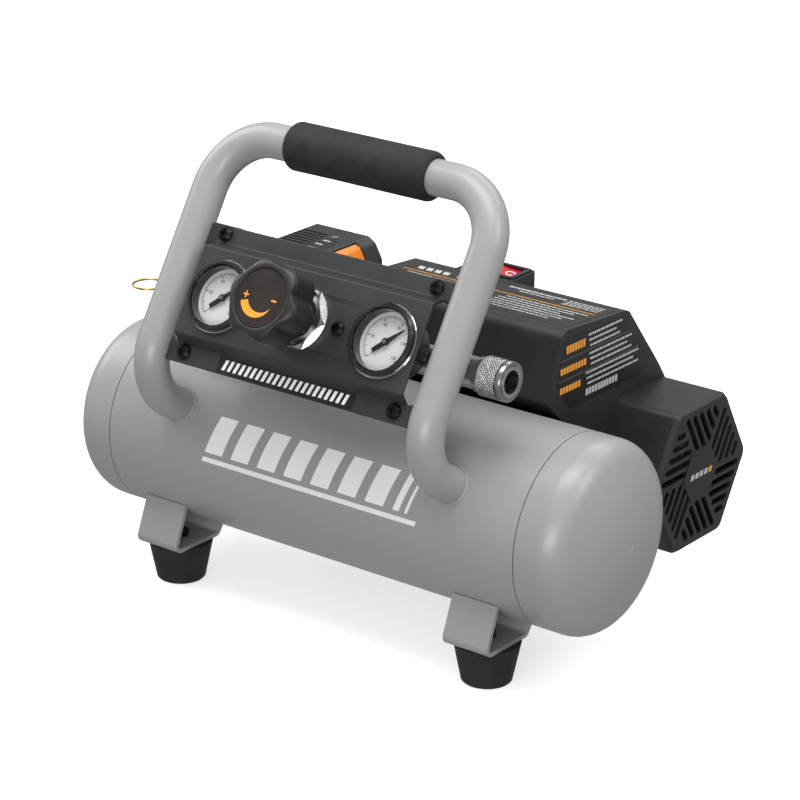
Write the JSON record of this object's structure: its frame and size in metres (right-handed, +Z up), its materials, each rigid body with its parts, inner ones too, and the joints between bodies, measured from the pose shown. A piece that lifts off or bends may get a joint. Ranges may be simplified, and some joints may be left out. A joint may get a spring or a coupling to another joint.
{
  "type": "air compressor",
  "caption": "Cordless portable air compressor: horizontal tank on rubber feet, leaning tube handle, gauge panel with regulator knob, housed pump behind and a slide-on battery pack.",
  "frame": {"origin": "on the floor under the middle of the whole machine's bounding box", "axes": "+X along the tank towards the fan and the hose coupler, +Y to the back, +Z up"},
  "size_m": [0.3922, 0.2818, 0.3009],
  "materials": {
    "tank_paint": "satin grey powder coat",
    "handle_paint": "satin grey powder coat",
    "bracket_paint": "satin grey powder coat",
    "panel_paint": "fine textured charcoal coat",
    "grip_foam": "matt closed-cell foam",
    "foot_rubber": "matt moulded rubber",
    "black_fastener": "black oxide",
    "brass": "machined",
    "chrome": "plated",
    "steel": "turned",
    "manifold_alloy": "machined",
    "pump_alloy": "die cast",
    "gloss_black": "gloss moulded",
    "knob_plastic": "fine grained",
    "gauge_black": "semi-gloss",
    "dial_white": "printed white",
    "gauge_lens": "clear",
    "needle_black": "matt",
    "motor_copper": "enamelled winding",
    "discharge_copper": "drawn tube",
    "board_green": "solder mask",
    "housing_plastic": "fine grained",
    "rocker_red": "gloss moulded",
    "pack_plastic": "fine grained",
    "latch_orange": "satin",
    "button_grey": "satin",
    "cell_wrap": "shrink sleeve"
  },
  "bodies": {
    "machine": {"tank_shell": "tank_paint", "tank_head_left": "tank_paint", "tank_head_right": "tank_paint", "tank_bungs": "tank_paint", "front_foot_brackets": "bracket_paint", "rear_foot_brackets": "bracket_paint", "rubber_feet": "foot_rubber", "foot_bolts": "black_fastener", "handle_tube": "handle_paint", "foam_grip": "grip_foam", "panel_tabs": "bracket_paint", "control_panel": "panel_paint", "panel_screws": "black_fastener", "manifold": "manifold_alloy", "regulator_bonnet": "gloss_black", "panel_nut": "chrome", "regulator_spring": "steel", "gauge_cases": "gauge_black", "gauge_dials": "dial_white", "gauge_lenses": "gauge_lens", "relief_valve_body": "brass", "coupler_body": "steel", "outlet_pipe": "brass", "pressure_switch": "housing_plastic", "drain_valve_body": "brass", "pump_deck": "bracket_paint", "pump_isolators": "foot_rubber", "crankcase": "pump_alloy", "cylinder_barrel": "pump_alloy", "cylinder_head": "pump_alloy", "head_bolts": "black_fastener", "motor_can": "steel", "discharge_tube": "discharge_copper", "check_valve": "brass", "controller_board": "board_green", "housing_cover": "housing_plastic", "housing_base": "housing_plastic", "fan_shroud": "housing_plastic", "housing_screws": "black_fastener", "switch_bezel": "housing_plastic", "battery_dock": "housing_plastic", "dock_contacts": "brass"},
    "knob": {"regulator_knob": "knob_plastic", "regulator_spindle": "steel"},
    "needle_left": {"gauge_needle_left": "needle_black"},
    "needle_right": {"gauge_needle_right": "needle_black"},
    "relief_stem": {"relief_stem": "brass"},
    "relief_ring": {"relief_ring": "steel"},
    "coupler_sleeve": {"coupler_sleeve": "steel"},
    "drain_cock": {"drain_handle": "brass"},
    "rocker": {"power_rocker": "rocker_red"},
    "battery": {"battery_case": "pack_plastic", "battery_cells": "cell_wrap"},
    "battery_latch": {"battery_latch": "latch_orange"},
    "fuel_button": {"fuel_button": "button_grey"},
    "rotor": {"motor_shaft": "steel", "motor_armature": "motor_copper", "cooling_fan": "housing_plastic", "crank_disc": "steel"},
    "piston": {"wobble_piston": "pump_alloy"}
  },
  "joints": [
    {"name": "regulator_turn", "type": "hinge", "parent": "machine", "child": "knob", "pos_m": [0, -0.08597, 0.20055], "axis": [0, -0.8508, 0.5255], "range_deg": [-540, 540]},
    {"name": "needle_left_turn", "type": "hinge", "parent": "machine", "child": "needle_left", "pos_m": [-0.061, -0.08597, 0.20055], "axis": [0, 0.8508, -0.5255], "range_deg": [-182, 88], "stiffness_Nm_per_rad": 0.0002},
    {"name": "needle_right_turn", "type": "hinge", "parent": "machine", "child": "needle_right", "pos_m": [0.061, -0.08597, 0.20055], "axis": [0, 0.8508, -0.5255], "range_deg": [-182, 88], "stiffness_Nm_per_rad": 0.0002},
    {"name": "relief_pull", "type": "slide", "parent": "machine", "child": "relief_stem", "axis": [-1, 0, 0], "range_m": [0, 0.003], "stiffness_N_per_m": 1500},
    {"name": "relief_ring_swing", "type": "hinge", "parent": "relief_stem", "child": "relief_ring", "pos_m": [-0.1306, -0.06743, 0.1891], "axis": [0, 1, 0], "range_deg": [-85, 85]},
    {"name": "coupler_sleeve_pull", "type": "slide", "parent": "machine", "child": "coupler_sleeve", "axis": [-1, 0, 0], "range_m": [0, 0.004], "stiffness_N_per_m": 1200},
    {"name": "drain_turn", "type": "hinge", "parent": "machine", "child": "drain_cock", "pos_m": [-0.03, 0.00063, 0.03498], "axis": [0, 0.5, -0.866], "range_deg": [0, 90]},
    {"name": "rocker_tip", "type": "hinge", "parent": "machine", "child": "rocker", "pos_m": [0.0135, 0.08338, 0.1889], "axis": [0, 1, 0], "range_deg": [-16, 0]},
    {"name": "battery_slide", "type": "slide", "parent": "machine", "child": "battery", "axis": [0, 0, 1], "range_m": [0, 0.1]},
    {"name": "battery_latch_press", "type": "hinge", "parent": "battery", "child": "battery_latch", "pos_m": [-0.099, 0.06563, 0.182], "axis": [0, 1, 0], "range_deg": [0, 7], "stiffness_Nm_per_rad": 0.6},
    {"name": "fuel_button_press", "type": "slide", "parent": "battery", "child": "fuel_button", "axis": [0, 0, -1], "range_m": [0, 0.0008], "stiffness_N_per_m": 600},
    {"name": "rotor_spin", "type": "hinge", "parent": "machine", "child": "rotor", "pos_m": [0.06, 0.08913, 0.0925], "axis": [1, 0, 0], "continuous": true},
    {"name": "piston_stroke", "type": "slide", "parent": "machine", "child": "piston", "axis": [0, -0.4226, 0.9063], "range_m": [0, 0.012]}
  ]
}
